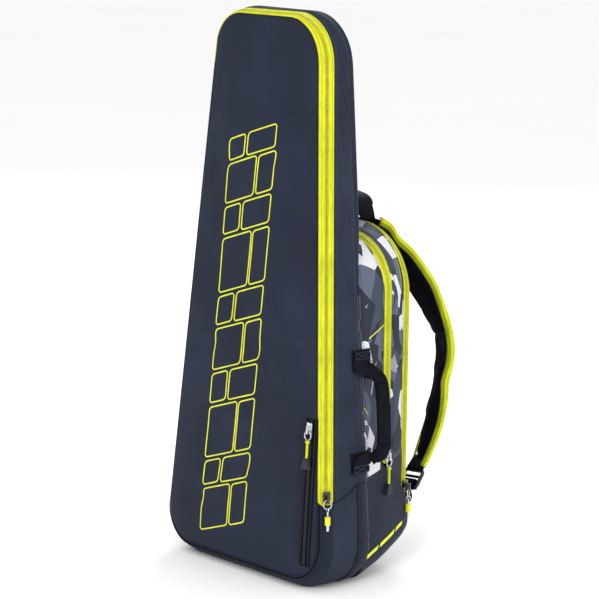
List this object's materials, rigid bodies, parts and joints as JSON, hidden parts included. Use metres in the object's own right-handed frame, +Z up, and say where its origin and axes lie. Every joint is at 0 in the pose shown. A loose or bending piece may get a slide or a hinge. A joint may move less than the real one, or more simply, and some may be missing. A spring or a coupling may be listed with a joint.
{
  "type": "racket tournament bag",
  "caption": "Tall tapering racket backpack with a zipped racket compartment in front, two shorter zipped compartments behind, side and top handles and two padded shoulder straps.",
  "frame": {"origin": "on the floor, midway across the bag, below the rear wall of the racket compartment", "axes": "+X to the right seen from the front, -Y is the front of the bag, +Z up"},
  "size_m": [0.3424, 0.3097, 0.765],
  "materials": {
    "coated_slate": "coated smooth",
    "woven_slate": "woven",
    "camo_print": "printed woven",
    "yellow_tape": "woven tape",
    "yellow_coil": "moulded coil",
    "black_tape": "woven tape",
    "black_webbing": "webbing",
    "black_padding": "air mesh",
    "grey_lining": "lining",
    "base_board": "stiff board",
    "silver_metal": "polished",
    "black_metal": "enamelled",
    "yellow_rubber": "moulded",
    "black_rubber": "moulded",
    "yellow_cord": "braided",
    "black_plastic": "moulded"
  },
  "bodies": {
    "bag": {"base_board": "base_board", "racket_gusset": "woven_slate", "racket_rear_wall": "grey_lining", "front_panel": "coated_slate", "front_wrap": "woven_slate", "main_zip_gusset_tape": "yellow_tape", "main_zip_gusset_coil": "yellow_coil", "main_zip_lower_tape": "yellow_tape", "pocket_zip_tape": "black_tape", "pocket_zip_coil": "black_tape", "pocket_pouch": "grey_lining", "lower_shell": "coated_slate", "side_strip": "camo_print", "inner_zip_front_tape": "yellow_tape", "inner_zip_front_coil": "yellow_coil", "side_handle_tabs": "black_webbing"},
    "front_flap": {"front_flap": "coated_slate", "flap_zip_tape": "yellow_tape", "flap_zip_coil": "yellow_coil"},
    "main_slider": {"main_zip_slider": "black_metal"},
    "main_pull": {"main_pull_ring": "silver_metal", "main_pull_clasp": "silver_metal", "main_pull_barrel": "yellow_rubber", "main_pull_tip": "silver_metal"},
    "pocket_slider": {"pocket_zip_slider": "silver_metal"},
    "pocket_pull": {"pocket_pull_ring": "silver_metal", "pocket_pull_cord": "yellow_cord", "pocket_pull_end": "black_rubber"},
    "rear_section": {"rear_strip": "camo_print", "compartment_divider": "grey_lining", "inner_zip_rear_tape": "yellow_tape", "inner_zip_rear_coil": "yellow_coil", "outer_zip_front_tape": "yellow_tape", "outer_zip_front_coil": "yellow_coil"},
    "back_panel": {"back_panel": "black_padding", "back_pads": "black_padding", "outer_zip_rear_tape": "yellow_tape", "outer_zip_rear_coil": "yellow_coil", "strap_yoke": "black_webbing", "strap_lower_tabs": "black_webbing", "top_handle_anchors": "black_webbing"},
    "inner_slider": {"inner_zip_slider": "silver_metal"},
    "inner_pull": {"inner_pull_ring": "silver_metal", "inner_pull_cord": "yellow_cord", "inner_pull_end": "black_rubber"},
    "outer_slider": {"outer_zip_slider": "black_metal"},
    "outer_pull": {"outer_pull_ring": "silver_metal", "outer_pull_clasp": "silver_metal", "outer_pull_barrel": "yellow_rubber", "outer_pull_tip": "silver_metal"},
    "side_handle_loop": {"side_handle": "black_webbing"},
    "top_handle_loop": {"top_handle": "black_webbing"},
    "right_strap": {"right_strap_pad": "black_padding", "right_strap_webbing": "black_webbing", "right_strap_buckle": "black_plastic"},
    "left_strap": {"left_strap_pad": "black_padding", "left_strap_webbing": "black_webbing", "left_strap_buckle": "black_plastic"}
  },
  "joints": [
    {"name": "flap_fold", "type": "hinge", "parent": "bag", "child": "front_flap", "pos_m": [0.14056, -0.07543, 0.2496], "axis": [0.4885, -0.0492, -0.8712], "range_deg": [0, 95]},
    {"name": "main_slider_travel", "type": "slide", "parent": "bag", "child": "main_slider", "axis": [-0.0788, 0.0562, 0.9953], "range_m": [0, 0.5]},
    {"name": "main_pull_swing", "type": "hinge", "parent": "main_slider", "child": "main_pull", "pos_m": [0.15816, -0.07258, 0.12964], "axis": [-0.2623, -0.9644, 0.0337], "range_deg": [0, 150]},
    {"name": "pocket_slider_travel", "type": "slide", "parent": "bag", "child": "pocket_slider", "axis": [0, -0.0564, -0.9984], "range_m": [0, 0.165]},
    {"name": "pocket_pull_swing", "type": "hinge", "parent": "pocket_slider", "child": "pocket_pull", "pos_m": [0.13, -0.08361, 0.22002], "axis": [-1, 0, 0], "range_deg": [0, 150]},
    {"name": "rear_fold", "type": "hinge", "parent": "bag", "child": "rear_section", "pos_m": [0, 0.121, 0.08], "axis": [-1, 0, 0], "range_deg": [0, 35]},
    {"name": "back_panel_fold", "type": "hinge", "parent": "rear_section", "child": "back_panel", "pos_m": [0, 0.121, 0.08], "axis": [-1, 0, 0], "range_deg": [0, 30]},
    {"name": "inner_slider_travel", "type": "slide", "parent": "bag", "child": "inner_slider", "axis": [-0.0062, -0.0012, 1], "range_m": [0, 0.2]},
    {"name": "inner_pull_swing", "type": "hinge", "parent": "inner_slider", "child": "inner_pull", "pos_m": [0.14459, 0.05397, 0.16503], "axis": [0.1843, -0.9829, 0], "range_deg": [0, 150]},
    {"name": "outer_slider_travel", "type": "slide", "parent": "rear_section", "child": "outer_slider", "axis": [0, 0, 1], "range_m": [0, 0.14]},
    {"name": "outer_pull_swing", "type": "hinge", "parent": "outer_slider", "child": "outer_pull", "pos_m": [0.12858, 0.10828, 0.11], "axis": [0.5241, -0.8517, 0], "range_deg": [0, 150]},
    {"name": "side_handle_swing", "type": "hinge", "parent": "bag", "child": "side_handle_loop", "pos_m": [0.15954, -0.004, 0.16851], "axis": [-0.0788, 0, 0.9969], "range_deg": [-95, 8]},
    {"name": "top_handle_fold", "type": "hinge", "parent": "back_panel", "child": "top_handle_loop", "pos_m": [0, 0.104, 0.4815], "axis": [1, 0, 0], "range_deg": [-60, 20]},
    {"name": "right_strap_swing", "type": "hinge", "parent": "back_panel", "child": "right_strap", "pos_m": [0.112, 0.119, 0.106], "axis": [0.1907, 0, -0.9816], "range_deg": [0, 25]},
    {"name": "left_strap_swing", "type": "hinge", "parent": "back_panel", "child": "left_strap", "pos_m": [-0.112, 0.119, 0.106], "axis": [0.1907, 0, 0.9816], "range_deg": [0, 25]}
  ]
}
